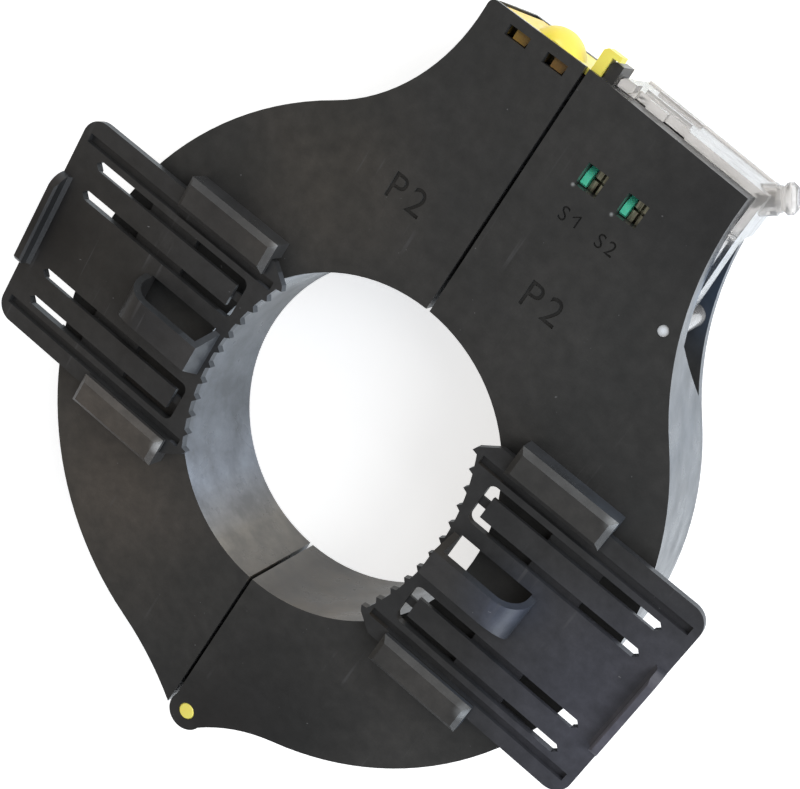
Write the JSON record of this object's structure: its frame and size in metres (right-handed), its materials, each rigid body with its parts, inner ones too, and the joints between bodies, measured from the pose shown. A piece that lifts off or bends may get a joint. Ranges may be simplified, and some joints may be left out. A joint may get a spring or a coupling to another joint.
{
  "type": "split-core current transformer",
  "caption": "Split-core current transformer: hinged black ring with a cable window, toothed sliding cable brackets, a yellow latch and a clear hinged terminal cover.",
  "frame": {"origin": "on the axis of the cable window, at the back face", "axes": "+Z along the window axis, out of the front face that carries the brackets; +Y towards the latch and terminals; +X towards the half with the terminals"},
  "size_m": [0.1767, 0.1915, 0.043],
  "materials": {
    "housing_plastic": "black moulded plastic with a fine matt texture",
    "bracket_plastic": "black moulded plastic, slightly smoother",
    "core_iron": "ground pole faces, dull sides",
    "bobbin_plastic": "natural moulded plastic",
    "copper_wire": "enamelled copper wire",
    "block_plastic": "dark grey moulded plastic",
    "clamp_metal": "tinned spring metal",
    "spring_steel": "bright spring strip",
    "yellow_plastic": "satin yellow plastic",
    "green_plastic": "green plastic",
    "clear_plastic": "clear plastic"
  },
  "bodies": {
    "terminal_half": {"terminal_half_shell": "housing_plastic", "terminal_half_back_cover": "housing_plastic", "terminal_half_core": "core_iron", "secondary_bobbin": "bobbin_plastic", "secondary_winding": "copper_wire", "secondary_leads": "clamp_metal", "terminal_block": "block_plastic", "s1_wire_clamp": "clamp_metal", "s2_wire_clamp": "clamp_metal", "hinge_pin": "yellow_plastic", "cover_hinge_pin": "clear_plastic"},
    "opening_half": {"opening_half_shell": "housing_plastic", "opening_half_back_cover": "housing_plastic", "opening_half_core": "core_iron", "core_cradle": "bobbin_plastic", "core_spring_upper": "spring_steel", "core_spring_lower": "spring_steel"},
    "latch": {"latch_slider": "yellow_plastic"},
    "cover": {"terminal_cover": "clear_plastic", "sealing_screw": "clear_plastic"},
    "terminal_bracket": {"terminal_side_bracket": "bracket_plastic"},
    "opening_bracket": {"opening_side_bracket": "bracket_plastic"},
    "s1_button": {"s1_release_button": "green_plastic"},
    "s2_button": {"s2_release_button": "green_plastic"}
  },
  "joints": [
    {"name": "half_hinge", "type": "hinge", "parent": "terminal_half", "child": "opening_half", "pos_m": [0.005, -0.082, 0.0155], "axis": [0, 0, 1], "range_deg": [0, 90]},
    {"name": "latch_slide", "type": "slide", "parent": "opening_half", "child": "latch", "axis": [-1, 0, 0], "range_m": [0, 0.0016]},
    {"name": "cover_hinge", "type": "hinge", "parent": "terminal_half", "child": "cover", "pos_m": [0.0428, 0.0675, 0.0155], "axis": [0, 0, -1], "range_deg": [0, 100]},
    {"name": "terminal_bracket_slide", "type": "slide", "parent": "terminal_half", "child": "terminal_bracket", "axis": [-1, 0, 0], "range_m": [-0.008, 0.025]},
    {"name": "opening_bracket_slide", "type": "slide", "parent": "opening_half", "child": "opening_bracket", "axis": [1, 0, 0], "range_m": [-0.008, 0.025]},
    {"name": "s1_button_press", "type": "slide", "parent": "terminal_half", "child": "s1_button", "axis": [0, 0, -1], "range_m": [0, 0.0008], "stiffness_N_per_m": 200, "springref_m": -0.0005},
    {"name": "s2_button_press", "type": "slide", "parent": "terminal_half", "child": "s2_button", "axis": [0, 0, -1], "range_m": [0, 0.0008], "stiffness_N_per_m": 200, "springref_m": -0.0005}
  ]
}
